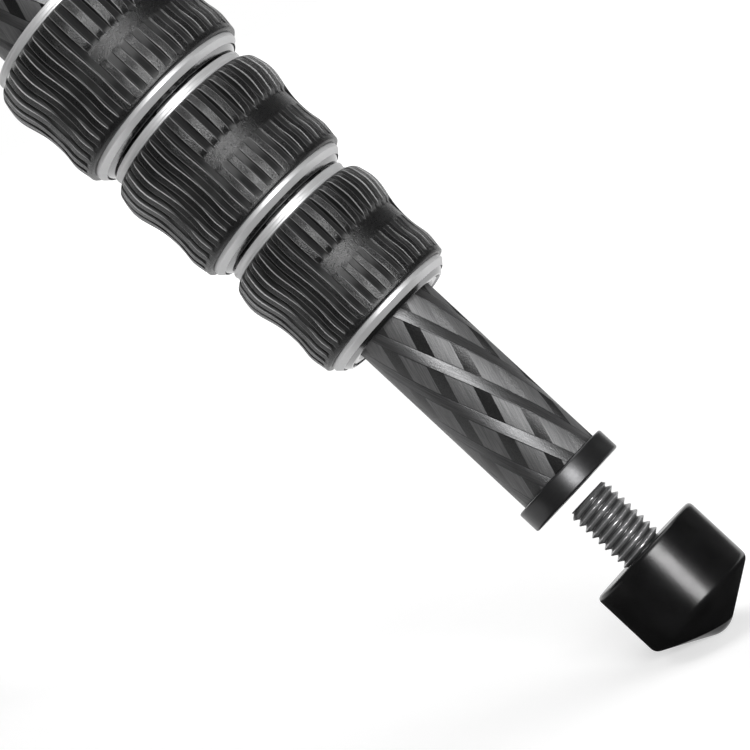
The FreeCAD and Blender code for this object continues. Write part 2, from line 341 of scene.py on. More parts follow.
def reach(node, origin, axis):
    """Lowest and highest distance along an axis and the largest from it, over a CAD node."""
    mesh = frame["nodes"][node].data
    points = np.empty(3 * len(mesh.vertices), np.float32)
    mesh.vertices.foreach_get("co", points)
    points = points.reshape(-1, 3) - origin
    depth = points @ axis
    radius = np.linalg.norm(points - np.outer(depth, axis), axis=1)
    return depth.min(), depth.max(), radius.max()


def rounded(outline, ease, closed=True, steps=4):
    """Each corner of an outline becomes a curve that leaves its side that far before it.

    The curve is a parabola held by the corner, and takes at most 0.45 of a side.
    """
    corner = np.array(outline, float)
    ends = []
    for other in (np.roll(corner, 1, axis=0), np.roll(corner, -1, axis=0)):
        side = other - corner
        length = np.linalg.norm(side, axis=1, keepdims=True)
        ends.append(corner + side * np.minimum(ease / length, 0.45))
    share = np.linspace(0, 1, steps)[:, None, None]
    curve = (1 - share) ** 2 * ends[0] + 2 * share * (1 - share) * corner + share ** 2 * ends[1]
    curve = curve.transpose(1, 0, 2)
    if closed:
        return curve.reshape(-1, 2)
    return np.concatenate([corner[:1], curve[1:-1].reshape(-1, 2), corner[-1:]])


def round_axis(radius, angle, depth):
    """Local points at that distance from the axis, turned by the angle, at that depth."""
    across = radius * np.cos(angle)
    return np.stack([across, radius * np.sin(angle), np.broadcast_to(depth, across.shape)], axis=-1)


def turned(outline, columns=ROUND):
    """An outline of (radius, depth) carried once round the axis: rings of local points."""
    angle = np.arange(columns) * 2 * np.pi / columns
    radius, depth = np.array(outline, float).T
    return round_axis(radius[:, None], angle, depth[:, None])


def skin(name, rings, axes, material, body, nodes=(), closed=True, marks=None):
    """A closed surface through rings of local points, put at an axis's origin.

    Neighbouring points of neighbouring rings make a four-sided face. A closed
    outline joins its last ring to its first, and an open one ends in a pole at
    each end. The UV map runs once round in u and along the outline in metres in v.
    Marks are values at the rings' points, kept as attributes, with 0 at a pole.
    """
    rows, columns = rings.shape[:2]
    origin, *directions = axes
    points = rings.reshape(-1, 3) @ np.array(directions) + origin
    step = np.linalg.norm(np.roll(rings, -1, axis=0) - rings, axis=2).mean(axis=1)
    along = np.concatenate([[0.0], np.cumsum(step)])
    index = np.arange(rows * columns).reshape(rows, columns)
    after = np.roll(index, -1, axis=1)
    lines = rows if closed else rows - 1
    next_row = (np.arange(lines) + 1) % rows
    corners = np.stack([index[:lines], after[:lines], after[next_row], index[next_row]], axis=-1)
    left = np.broadcast_to(np.arange(columns) / columns, (lines, columns))
    near = np.broadcast_to(along[:lines, None], (lines, columns))
    far = np.broadcast_to(along[1:lines + 1, None], (lines, columns))
    turn = left + 1 / columns
    places = np.stack([left, near, turn, near, turn, far, left, far], axis=-1)
    loops = [corners.reshape(-1)]
    flat = [places.reshape(-1, 2)]
    sizes = [np.full(lines * columns, 4)]
    if not closed:
        poles = np.arange(2) + len(points)
        points = np.concatenate([points, points.reshape(rows, columns, 3)[[0, -1]].mean(axis=1)])
        for pole, row, order in ((poles[0], 0, (1, 0, 2)), (poles[1], rows - 1, (0, 1, 2))):
            fan = np.stack([index[row], after[row], np.full(columns, pole)], axis=-1)
            loops.append(fan[:, order].reshape(-1))
            spot = np.stack([left[0], turn[0], left[0]], axis=-1)[:, order]
            flat.append(np.stack([spot, np.full(spot.shape, along[row])], axis=-1).reshape(-1, 2))
            sizes.append(np.full(columns, 3))
    loops = np.concatenate(loops)
    flat = np.concatenate(flat)
    sizes = np.concatenate(sizes)
    starts = np.concatenate([[0], np.cumsum(sizes)[:-1]])
    a, b, c = (points[loops[starts + n]] for n in range(3))
    last = points[loops[starts + sizes - 1]]
    bulk = np.einsum("ij,ij->", a, np.cross(b, c)) + np.einsum("ij,ij->", a, np.cross(c, last))
    if bulk < 0:
        mirror = np.repeat(starts * 2 + sizes - 1, sizes) - np.arange(len(loops))
        loops, flat = loops[mirror], flat[mirror]
    mesh = bpy.data.meshes.new(name)
    mesh.vertices.add(len(points))
    mesh.vertices.foreach_set("co", points.astype(np.float32).ravel())
    mesh.loops.add(len(loops))
    mesh.loops.foreach_set("vertex_index", loops.astype(np.int32))
    mesh.polygons.add(len(starts))
    mesh.polygons.foreach_set("loop_start", starts.astype(np.int32))
    mesh.update(calc_edges=True)
    mesh.uv_layers.new(name="UVMap").data.foreach_set("uv", flat.astype(np.float32).ravel())
    for mark, values in (marks or {}).items():
        full = np.zeros(len(points), dtype=np.float32)
        full[:values.size] = values.ravel()
        mesh.attributes.new(mark, "FLOAT", "POINT").data.foreach_set("value", full)
    mesh.shade_smooth()
    mesh.set_sharp_from_angle(angle=np.radians(38))
    mesh.materials.append(material)
    settled(bpy.data.objects.new(name, mesh), body, nodes)


def mixed(tree, share, under, over):
    """A colour, laid over another by a share from 0 to 1."""
    return add(tree, "Mix", {"data_type": "RGBA"}, {0: share, 6: under, 7: over}).outputs[2]


def mixed_value(tree, share, under, over):
    """A number, laid over another by a share from 0 to 1."""
    return add(tree, "Mix", {"data_type": "FLOAT"}, {0: share, 2: under, 3: over}).outputs[0]


def smooth_band(tree, value, centre, half_width, soft):
    """1 within half_width of the centre, falling to 0 over a soft edge on each side."""
    off = add(tree, "Math", {"operation": "SUBTRACT"}, {0: value, 1: centre}).outputs[0]
    off = add(tree, "Math", {"operation": "ABSOLUTE"}, {0: off}).outputs[0]
    return add(tree, "MapRange", {"interpolation_type": "SMOOTHSTEP"},
               {"Value": off, "From Min": half_width + soft, "From Max": half_width - soft,
                "To Min": 0.0, "To Max": 1.0}).outputs[0]


def carbon_finish(tapes):
    """Wound carbon: narrow tapes over broad tapes that lean the other way, over a dark base.

    A tape's place is what is left over of the number of tapes times the turn from
    TAPE_START on, minus the depth over TAPE_PITCH for the narrow tapes and plus it
    for the broad ones. Fibres that lean one way catch the light lower round the
    tube and the others higher, so each layer's normal is turned a little.
    """
    material, tree = surfaced(f"carbon_of_{tapes}_tapes")
    uv = add(tree, "SeparateXYZ", None, {0: add(tree, "UVMap", {"uv_map": "UVMap"}).outputs[0]})
    lay = add(tree, "Math", {"operation": "DIVIDE"}, {0: uv.outputs[1], 1: TAPE_PITCH}).outputs[0]
    round_tube = add(tree, "Math", {"operation": "MULTIPLY_ADD"},
                     {0: uv.outputs[0], 1: float(tapes), 2: -tapes * TAPE_START}).outputs[0]
    shares, fibres = [], []
    for sign in ("SUBTRACT", "ADD"):
        turn = add(tree, "Math", {"operation": sign}, {0: round_tube, 1: lay}).outputs[0]
        shares.append(add(tree, "Math", {"operation": "FRACT"}, {0: turn}).outputs[0])
        thread = add(tree, "Math", {"operation": "MULTIPLY"}, {0: turn, 1: 26.0}).outputs[0]
        run = add(tree, "Math", {"operation": "MULTIPLY"}, {0: uv.outputs[1], 1: 160.0}).outputs[0]
        place = add(tree, "CombineXYZ", None, {0: thread, 1: run}).outputs[0]
        fibre = add(tree, "TexNoise", None, {"Vector": place, "Scale": 1.0, "Detail": 4.0})
        fibres.append(fibre.outputs["Fac"])
    narrow = smooth_band(tree, shares[0], 0.5, 0.165, 0.012)
    broad = smooth_band(tree, shares[1], 0.5, 0.31, 0.012)
    line = smooth_band(tree, shares[0], 0.5, 0.185, 0.03)
    grain = surface_noise(tree, 4200.0, 3.0)
    base = toned(tree, spread(tree, grain, 0.0, 1.0), (0.040, 0.040, 0.0404), (0.062, 0.062, 0.0625))
    over = toned(tree, spread(tree, fibres[1], 0.0, 1.0), (0.12, 0.12, 0.121), (0.20, 0.20, 0.202))
    top = toned(tree, spread(tree, fibres[0], 0.0, 1.0), (0.08, 0.08, 0.081), (0.13, 0.13, 0.132))
    colour = mixed(tree, broad, base, over)
    colour = mixed(tree, line, colour, (0.03, 0.03, 0.031, 1))
    colour = mixed(tree, narrow, colour, top)
    lean = add(tree, "MapRange", None, {"Value": broad, "To Min": 0.55, "To Max": 0.20}).outputs[0]
    lean = mixed_value(tree, narrow, lean, -0.10)
    tangent = add(tree, "Tangent", {"direction_type": "UV_MAP", "uv_map": "UVMap"}).outputs[0]
    shift = add(tree, "VectorMath", {"operation": "SCALE"}, {0: tangent, 3: lean}).outputs[0]
    plain = add(tree, "NewGeometry").outputs["Normal"]
    normal = add(tree, "VectorMath", {"operation": "ADD"}, {0: plain, 1: shift}).outputs[0]
    normal = add(tree, "VectorMath", {"operation": "NORMALIZE"}, {0: normal}).outputs[0]
    rough_grain = spread(tree, grain, -0.5, 0.5)
    height = add(tree, "Math", {"operation": "ADD"}, {0: narrow, 1: rough_grain}).outputs[0]
    rough = add(tree, "MapRange", None, {"Value": broad, "To Min": 0.42, "To Max": 0.62}).outputs[0]
    rough = mixed_value(tree, narrow, rough, 0.42)
    shaded(tree, {
        "Base Color": colour,
        "Roughness": rough,
        "Metallic": 0.85,
        "Normal": raised(tree, height, 0.00003, 0.8, normal),
    })
    return material


def plastic_finish(name, dark, light, rough):
    """Moulded plastic with a faint mottle and a fine grain."""
    material, tree = surfaced(name)
    shaded(tree, {
        "Base Color": toned(tree, spread(tree, surface_noise(tree, 220.0), 0.0, 1.0), dark, light),
        "Roughness": spread(tree, surface_noise(tree, 900.0), rough - 0.05, rough + 0.05),
        "Specular IOR Level": 0.3,
        "Normal": raised(tree, surface_noise(tree, 5000.0, 2.0), 0.00001),
    })
    return material


column_axes = (np.zeros(3), np.array([1.0, 0.0, 0.0]), np.array([0.0, 1.0, 0.0]), UP)
carbons = {tapes: carbon_finish(tapes) for tapes in (9, 11, 12, 13, 14)}


def carbon_round(radius):
    """The carbon finish whose number of tapes goes round a tube of that radius."""
    return carbons[round(2 * np.pi * radius / TAPE_WIDTH)]


nylon = plastic_finish("nylon", (0.045, 0.045, 0.046), (0.06, 0.06, 0.061), 0.5)
black_plastic = plastic_finish("black_plastic", (0.008, 0.008, 0.0082), (0.014, 0.014, 0.0142), 0.40)

low, high, column_radius = reach("column_tube", np.zeros(3), UP)
column_bore = column_radius - COLUMN_WALL
outline = [(column_bore, low), (column_radius, low), (column_radius, high), (column_bore, high)]
skin("column_carbon_tube", turned(rounded(outline, 0.0003)), column_axes, carbon_round(column_radius),
     "column", ["column_tube"])

low, high, bush_radius = reach("column_bush", np.zeros(3), UP)
inner = column_radius + BUSH_GAP
outline = [(inner, low), (bush_radius, low), (bush_radius, high), (inner, high)]
skin("column_nylon_bush", turned(rounded(outline, 0.0004)), column_axes, nylon,
     "spider", ["column_bush"])

low, high, cap_radius = reach("column_cap", np.zeros(3), UP)
shoulder = high - CAP_PLUG
plug = column_bore - CAP_PLUG_GAP
outline = [(0, low), (cap_radius - 0.004, low), (cap_radius - 0.0036, low + 0.0005),
           (cap_radius - 0.001, low + 0.0005), (cap_radius, low + 0.0015), (cap_radius, shoulder),
           (plug, shoulder), (plug, high), (0, high)]
skin("column_bottom_cap", turned(rounded(outline, 0.0004, closed=False)[1:-1]), column_axes, black_plastic,
     "column", ["column_cap"], closed=False)


# The platform and its camera screw. A painted plate with turned grip rings in
# its top and a neck on the column; the screw's six-sided head is under the plate.
THREAD_RADIUS = 0.0047625
PITCH = 0.0015875
THREAD_DEPTH = 0.0009
THREAD_ROWS = 14
THREAD_LEAD = 0.0012
GRIP_RINGS = 9
GRIP_RING_ROWS = 8 * GRIP_RINGS
GRIP_RING_DIP = 0.0002
PLATE_HEIGHT = 0.004
PLATE_EDGE = 0.0006
NECK_WALL = 0.0026
SHOULDER_RADIUS = 0.006
SHOULDER_GAP = 0.0002
SCREW_HEAD_RADIUS = 0.008


def steel_finish():
    """Brushed steel with faint smears."""
    material, tree = surfaced("bolt_steel")
    shaded(tree, {
        "Base Color": toned(tree, surface_noise(tree, 900.0), (0.26, 0.26, 0.27), (0.36, 0.36, 0.37)),
        "Roughness": spread(tree, surface_noise(tree, 700.0), 0.26, 0.42),
        "Metallic": 1.0,
        "Normal": raised(tree, surface_noise(tree, 4000.0, 1.0), 0.00001),
    })
    return material


bolt_steel = steel_finish()


def hexagon(columns):
    """Radius round a six-sided shape whose corners are at 1."""
    angle = np.arange(columns) * 2 * np.pi / columns
    return np.cos(np.pi / 6) / np.cos(angle % (np.pi / 3) - np.pi / 6)


def threaded(crest, low, high, hole=False, travel=0.0):
    """Rings of a screw thread from low to high along the axis, and each point's share of its depth.

    The radius falls from the crest to the root and back once for each pitch of
    depth, and the place of the crest moves one pitch with each turn. Near each
    end the crest is cut back by a lead-in cone. A hole's thread is cut to meet a
    stud that moves in by its travel.
    """
    rows = int((high - low) / PITCH * THREAD_ROWS)
    depth = np.linspace(low, high, rows)[:, None]
    turn = np.arange(ROUND)[None, :] / ROUND
    share = ((depth + travel) / PITCH - turn) % 1.0
    flank = np.clip((np.abs(share - 0.5) * 2 - 0.1) / 0.78, 0, 1)
    radius = crest - THREAD_DEPTH * flank
    if not hole:
        end = np.minimum(depth - low, high - depth)
        radius = np.minimum(radius, crest - THREAD_DEPTH * 0.9 + end / THREAD_LEAD * THREAD_DEPTH)
    return round_axis(radius, turn * 2 * np.pi, depth), (crest - radius) / THREAD_DEPTH


low, high, plate_radius = reach("top_plate", np.zeros(3), UP)
under = high - PLATE_HEIGHT
neck = column_radius + NECK_WALL
ring_place = np.linspace(plate_radius - 0.002, SHOULDER_RADIUS + 0.0025, GRIP_RING_ROWS)
ring_turn = np.linspace(0, 2 * np.pi * GRIP_RINGS, GRIP_RING_ROWS)
ring_dip = GRIP_RING_DIP * (0.5 - 0.5 * np.cos(ring_turn))
outline = np.concatenate([
    rounded([(SHOULDER_RADIUS, under), (column_radius, under), (column_radius, low), (neck, low),
             (neck, under), (plate_radius - PLATE_EDGE, under), (plate_radius, under + PLATE_EDGE),
             (plate_radius, high - PLATE_EDGE), (plate_radius - PLATE_EDGE, high)], 0.0003, closed=False),
    np.stack([ring_place, high - ring_dip], axis=1),
    [(SHOULDER_RADIUS, high)],
])
skin("platform", turned(outline), column_axes, casting, "column", ["top_plate"])

low, high, _ = reach("camera_screw", np.zeros(3), UP)
plate_top = under + PLATE_HEIGHT
shoulder = SHOULDER_RADIUS - SHOULDER_GAP
outline = [(THREAD_RADIUS - THREAD_DEPTH, plate_top + 0.0002), (shoulder, plate_top), (shoulder, under)]
outline = rounded(outline, 0.0002, closed=False)
head = [(SCREW_HEAD_RADIUS, under), (SCREW_HEAD_RADIUS, low), (0.003, low)]
head = turned(rounded(head, 0.0005, closed=False))
head[..., :2] *= hexagon(ROUND)[None, :, None]
shank = threaded(THREAD_RADIUS, plate_top, high)[0][::-1]
skin("camera_screw_steel", np.concatenate([shank, turned(outline), head]), column_axes, bolt_steel,
     "column", ["camera_screw"], closed=False)


# Hinge bolts. Each is a steel bolt through a lug and the two ears of a leg's
# head, with a flat head at each end that has a six-sided socket.
BOLT_GRIP = 0.0127
BOLT_END = 0.0149
BOLT_HEAD = 0.0062
BOLT_SHANK = 0.0040
SOCKET = 0.0026
SOCKET_MOUTH = 0.0031
SOCKET_FLOOR = BOLT_END - 0.0014
SOCKET_ROWS = (0, 1, 2, -3, -2, -1)
bolt_half = [(0.0001, SOCKET_FLOOR), (SOCKET, SOCKET_FLOOR), (SOCKET, BOLT_END - 0.0003),
             (SOCKET_MOUTH, BOLT_END), (BOLT_HEAD - 0.0007, BOLT_END),
             (BOLT_HEAD - 0.0002, BOLT_END - 0.0003), (BOLT_HEAD, BOLT_END - 0.0008),
             (BOLT_HEAD, BOLT_GRIP), (BOLT_SHANK, BOLT_GRIP)]
bolt_rings = turned(bolt_half + [(radius, -place) for radius, place in reversed(bolt_half)])
for row in SOCKET_ROWS:
    bolt_rings[row, :, :2] *= hexagon(ROUND)[:, None]
for leg in LEGS:
    origin, out, side, down_leg = leg_axes(leg)
    skin(f"leg_{leg}_hinge_bolt", bolt_rings, (origin, down_leg, out, side), bolt_steel,
         "spider", ["hinge_bolts"], closed=False)


# The twist locks' grips. Moulded rubber sleeves with two bulges; upright grooves
# are cut down to one depth all round, so they run out at the waist between them.
GRIP_RIBS = 38
GRIP_WAIST = 0.0154
GROOVE_FLOOR = 0.0153
LOCK_STEP = 0.00195
LOCK_SLEEVE_BASE = 0.0029
PLAIN_ARC = np.radians(49)
PLAIN_CENTRE = np.pi / 2 - VIEW_TURN - np.radians(39)
PLAIN_LOW, PLAIN_HIGH = 0.0125, 0.0164
PLAIN_SOFT = 0.0002
GRIP_BORE = 0.0130
LOCKS = (("a", 2), ("b", 1), ("c", 0))


def bell(level, height, centre, width):
    """A smooth hump of that height round its centre."""
    return height * np.exp(-((level - centre) / width) ** 2)


def eased_step(value, low, high):
    """0 below low and 1 above high, with a smooth S between them."""
    share = np.clip((value - low) / (high - low), 0, 1)
    return share * share * (3 - 2 * share)


def rubber_finish():
    """Matt moulded rubber, with painted shade that makes the grooves black and a painted highlight along the
    ribs' edges.
    """
    material, tree = surfaced("rubber")
    groove = add(tree, "Attribute", {"attribute_name": "groove"}).outputs["Fac"]
    edge = add(tree, "Attribute", {"attribute_name": "edge"}).outputs["Fac"]
    fine = surface_noise(tree, 6500.0, 2.0)
    pad = toned(tree, spread(tree, fine, 0.0, 1.0), (0.002, 0.002, 0.0021), (0.010, 0.010, 0.0102))
    # Painted shade: the groove floors are coloured black, where the grooves' own shade falls.
    colour = mixed(tree, groove, pad, (0.002, 0.002, 0.0021, 1))
    # Painted highlight: a pale grey line along each groove wall's top edge, and a fainter one at its foot.
    colour = mixed(tree, edge, colour, (0.26, 0.26, 0.262, 1))
    rough = mixed_value(tree, edge, spread(tree, fine, 0.24, 0.36), 0.26)
    rough = mixed_value(tree, groove, rough, 0.9)
    shaded(tree, {
        "Base Color": colour,
        "Roughness": rough,
        "Specular IOR Level": 0.5,
        "Normal": raised(tree, fine, 0.00007, 1.0),
    })
    return material


def rib_columns():
    """Angles round a grip, most of them at the grooves' walls, and how far across its groove each is."""
    half = np.array([0.06, 0.16, 0.195, 0.215, 0.25, 0.272, 0.29, 0.33, 0.42])
    across = np.concatenate([-half[::-1], half])
    angle = (np.arange(GRIP_RIBS)[:, None] + 0.5 + across) * 2 * np.pi / GRIP_RIBS
    return angle.ravel(), np.tile(np.abs(across), GRIP_RIBS)


def groove_cut(across):
    """1 on a groove's floor and 0 on the ribs, with a steep wall whose two edges are rounded."""
    return np.interp(across, [0.16, 0.195, 0.215, 0.25, 0.272, 0.29], [1.0, 0.96, 0.84, 0.20, 0.04, 0.0])


def edge_highlight_mark(across):
    """Where the rubber's painted highlight goes: 1 along the top edge of a groove's wall, less along its
    foot, and 0 elsewhere.
    """
    return np.interp(across, [0.16, 0.195, 0.215, 0.25, 0.272, 0.29, 0.33],
                     [0.0, 0.15, 0.0, 0.0, 1.0, 0.35, 0.0])


def grip_bore(bore, angle, depths):
    """Rings of a grip's round bore at those depths."""
    return np.stack([round_axis(bore, angle, depth) for depth in depths])


def grip_rings(wider, height, bore):
    """Rings of one grip, with the height above the lock's lower face running up the leg.

    The crest's radius is the waist's plus two bells, less a quarter round at each
    end. Where it stands out past the groove floor, a groove takes it back to that
    floor, and so does the plain band between PLAIN_LOW and PLAIN_HIGH.
    """
    angle, across = rib_columns()
    base = LOCK_SLEEVE_BASE
    level = np.concatenate([
        base + 0.0004 * (1 - np.cos(np.linspace(0, np.pi / 2, 4))),
        np.linspace(base + 0.0006, height - 0.0016, 42),
        height - 0.0015 + 0.0015 * np.sin(np.linspace(0.1, np.pi / 2, 6)),
    ])[:, None]
    crest = GRIP_WAIST + bell(level, 0.0005, 0.0069, 0.0026) + bell(level, 0.00145, 0.0212, 0.0048)
    low_round = 0.0004 * (1 - np.sqrt(1 - np.clip((base + 0.0004 - level) / 0.0004, 0, 1) ** 2))
    high_round = 0.0017 * (1 - np.sqrt(1 - np.clip((level - height + 0.0015) / 0.0015, 0, 1) ** 2))
    crest = crest - low_round - high_round
    cut = groove_cut(across)[None, :] * eased_step(level, base + 0.0010, base + 0.0017)
    off = np.abs((angle - PLAIN_CENTRE + np.pi) % (2 * np.pi) - np.pi)[None, :]
    plain = eased_step(PLAIN_ARC - off, 0, 0.02)
    plain = plain * eased_step(level, PLAIN_LOW - PLAIN_SOFT, PLAIN_LOW + PLAIN_SOFT)
    plain = plain * (1 - eased_step(level, PLAIN_HIGH - PLAIN_SOFT, PLAIN_HIGH + PLAIN_SOFT))
    spare = np.maximum(crest - GROOVE_FLOOR, 0)
    radius = crest - spare * np.maximum(cut, plain) + wider
    outer = round_axis(radius, angle, -level)
    inner = grip_bore(bore, angle, (-height, -base))
    # The groove mark carries the rubber's painted shade on the groove floors, and the edge mark its painted
    # highlight along the walls' edges.
    groove = cut * (1 - plain) * np.clip(spare / 0.0005, 0, 1)
    edge = edge_highlight_mark(across)[None, :] * (1 - plain) * np.clip(spare / 0.0004, 0.35, 1)
    edge = edge * eased_step(level, base + 0.0012, base + 0.0017)
    return np.concatenate([outer, inner]), {"groove": groove, "edge": edge}


rubber = rubber_finish()
for leg in LEGS:
    origin, *directions = leg_axes(leg)
    for letter, size in LOCKS:
        _, stop, _ = reach(f"leg_{leg}_ring_{letter}", origin, directions[2])
        grip_top, _, _ = reach(f"leg_{leg}_grip_{letter}", origin, directions[2])
        rings, marks = grip_rings(LOCK_STEP * size, stop - grip_top, GRIP_BORE + LOCK_STEP * size)
        skin(f"leg_{leg}_rubber_grip_{letter}", rings, (origin + directions[2] * stop, *directions), rubber,
             f"leg_{leg}_lock_{letter}", [f"leg_{leg}_grip_{letter}"], marks=marks)


# The locks' sleeves. Turned aluminium: a bevelled ring below the rubber and a
# narrow rim with a shallow groove above it, both left bright.
RING_RADIUS = 0.0144
RING_BEVEL = 0.0020
MOUTH_RADIUS = 0.0133
MOUTH_FLOOR = 0.0050
SLEEVE_BARREL = 0.0129
SLEEVE_COLUMNS = 128
RIM_HEIGHT = 0.0018
RIM_GROOVE = (0.0005, 0.0012)


def aluminium_finish(name, dark, light, rough, metal=1.0):
    """Turned metal: fine rings from the lathe tool and a slight streakiness."""
    material, tree = surfaced(name)
    uv = add(tree, "UVMap", {"uv_map": "UVMap"}).outputs[0]
    stretched = add(tree, "Mapping", None, {"Vector": uv, "Scale": (3.0, 16000.0, 1.0)}).outputs[0]
    lathe = add(tree, "TexNoise", None, {"Vector": stretched, "Scale": 1.0, "Detail": 3.0}).outputs["Fac"]
    shaded(tree, {
        "Base Color": toned(tree, spread(tree, lathe, 0.0, 1.0), dark, light),
        "Roughness": spread(tree, surface_noise(tree, 1500.0), rough - 0.02, rough + 0.03),
        "Metallic": metal,
        "Normal": raised(tree, lathe, 0.000003),
    })
    return material


bright = aluminium_finish("bright_aluminium", (0.50, 0.50, 0.504), (0.58, 0.58, 0.584), 0.40, 0.5)
for leg in LEGS:
    origin, *directions = leg_axes(leg)
    for letter, size in LOCKS:
        start, stop, _ = reach(f"leg_{leg}_ring_{letter}", origin, directions[2])
        height = stop - start
        wider = LOCK_STEP * size
        rim = height - RIM_HEIGHT
        ring = RING_RADIUS + wider
        barrel = SLEEVE_BARREL + wider
        mouth = MOUTH_RADIUS + wider
        groove_low, groove_high = (-rim - place for place in RIM_GROOVE)
        outline = rounded([
            (mouth, -MOUTH_FLOOR), (mouth, -RING_BEVEL + 0.0011), (ring, -RING_BEVEL),
            (ring, -LOCK_SLEEVE_BASE), (barrel, -LOCK_SLEEVE_BASE), (barrel, -rim), (ring, -rim),
            (ring, groove_low), (ring - 0.00018, groove_low), (ring - 0.00006, groove_high),
            (ring, groove_high), (ring, -height), (mouth, -height),
        ], 0.00012)
        skin(f"leg_{leg}_bright_sleeve_{letter}", turned(outline, SLEEVE_COLUMNS),
             (origin + directions[2] * stop, *directions), bright,
             f"leg_{leg}_lock_{letter}", [f"leg_{leg}_ring_{letter}"])


# The locks' mouths. A polished aluminium bush closes each sleeve round the tube:
# a cone that mirrors what is below the lock, a fine groove and an inner lip.
MOUTH_PROFILE = ((0.0132, -0.0012), (0.0122, -0.0002), (0.0117, -0.0001), (0.01155, -0.0010),
                 (0.0111, -0.0010), (0.0110, -0.0003), (0.0100, -0.0003))
MOUTH_DEPTH = 0.0048
MOUTH_CLEARANCE = 0.0005
polished = aluminium_finish("polished_aluminium", (0.25, 0.25, 0.253), (0.31, 0.31, 0.313), 0.17)
for leg in LEGS:
    origin, *directions = leg_axes(leg)
    for (letter, size), inside in zip(LOCKS, ("tube_2", "tube_3", "tube_4")):
        _, stop, _ = reach(f"leg_{leg}_ring_{letter}", origin, directions[2])
        bore = reach(f"leg_{leg}_{inside}", origin, directions[2])[2] + MOUTH_CLEARANCE
        profile = [(radius + LOCK_STEP * size, depth) for radius, depth in MOUTH_PROFILE]
        outline = rounded([(bore, -MOUTH_DEPTH), (bore, -0.0008), *profile[::-1],
                           (profile[0][0], -MOUTH_DEPTH)], 0.0001)
        skin(f"leg_{leg}_mouth_{letter}", turned(outline), (origin + directions[2] * stop, *directions),
             polished, f"leg_{leg}_lock_{letter}")


# The legs' carbon tubes. Four to a leg, each wound like the column and sliding in
# the one above it.
TUBE_WALL = 0.0012
SECTIONS = (("upper_tube", "upper"), ("tube_2", "section_2"), ("tube_3", "section_3"),
            ("tube_4", "section_4"))
for leg in LEGS:
    origin, *directions = leg_axes(leg)
    for node, body in SECTIONS:
        start, stop, radius = reach(f"leg_{leg}_{node}", origin, directions[2])
        bore = radius - TUBE_WALL
        outline = rounded([(radius, stop), (radius, start), (bore, start), (bore, stop)], 0.00015)
        skin(f"leg_{leg}_carbon_{node}", turned(outline), (origin, *directions), carbon_round(radius),
             f"leg_{leg}_{body}", [f"leg_{leg}_{node}"])


# The end rings. Black anodised plugs in the lowest tubes, each with a flange at
# the tube's end and a threaded hole for the foot's stud.
END_RING_HEIGHT = 0.0046
END_PLUG_GAP = 0.0001
HOLE_RADIUS = THREAD_RADIUS + 0.0001
anodised = aluminium_finish("black_anodised", (0.040, 0.040, 0.041), (0.048, 0.048, 0.049), 0.32, 0.75)
for leg in LEGS:
    origin, *directions = leg_axes(leg)
    start, stop, radius = reach(f"leg_{leg}_end_ring", origin, directions[2])
    plug = reach(f"leg_{leg}_tube_4", origin, directions[2])[2] - TUBE_WALL - END_PLUG_GAP
    flange = stop - END_RING_HEIGHT
    travel = -joints[f"leg_{leg}_foot_screw"]["range_m"][0]
    hole, _ = threaded(HOLE_RADIUS, start, stop, hole=True, travel=travel)
    outline = [(HOLE_RADIUS, stop), (radius, stop), (radius, flange), (plug, flange), (plug, start),
               (HOLE_RADIUS, start)]
    outer = turned(rounded(outline, 0.00045, closed=False)[1:-1])
    skin(f"leg_{leg}_end_flange", np.concatenate([hole, outer]), (origin, *directions), anodised,
         f"leg_{leg}_section_4", [f"leg_{leg}_end_ring"])


# The feet. Each is a moulded rubber foot, a short cylinder with a blunt cone below
# it, on a threaded steel stud.
FOOT_RADIUS = 0.0123
CYLINDER_LENGTH = 0.0144
CONE_LENGTH = 0.0072
FOOT_EDGE = 0.0011
FOOT_TIP = 0.0049
STUD_SUNK = 0.002


def stud_finish():
    """Grey rolled steel, with painted shade darkening the thread's root and a painted highlight along its
    crest.
    """
    material, tree = surfaced("stud_steel")
    root = add(tree, "Attribute", {"attribute_name": "root"}).outputs["Fac"]
    grit = surface_noise(tree, 2600.0, 3.0)
    plain = toned(tree, spread(tree, grit, 0.0, 1.0), (0.24, 0.24, 0.242), (0.36, 0.36, 0.363))
    # Painted shade: the thread's root is coloured dark.
    dark = smooth_band(tree, root, 1.0, 0.25, 0.2)
    # Painted highlight: the thread's crest is coloured pale.
    crest_highlight = smooth_band(tree, root, 0.0, 0.18, 0.1)
    colour = mixed(tree, dark, plain, (0.08, 0.08, 0.081, 1))
    colour = mixed(tree, crest_highlight, colour, (0.44, 0.44, 0.443, 1))
    shaded(tree, {
        "Base Color": colour,
        "Roughness": spread(tree, grit, 0.34, 0.44),
        "Metallic": 0.75,
        "Normal": raised(tree, grit, 0.00001),
    })
    return material


stud_steel = stud_finish()


def foot_finish():
    """Smooth satin rubber with faint scuffs."""
    material, tree = surfaced("foot_rubber")
    scuffs = spread(tree, surface_noise(tree, 180.0), 0.0, 1.0)
    shaded(tree, {
        "Base Color": toned(tree, scuffs, (0.004, 0.004, 0.0041), (0.007, 0.007, 0.0072)),
        "Roughness": spread(tree, surface_noise(tree, 420.0), 0.22, 0.27),
        "Specular IOR Level": 0.30,
        "Normal": raised(tree, surface_noise(tree, 3600.0, 2.0), 0.000008),
    })
    return material


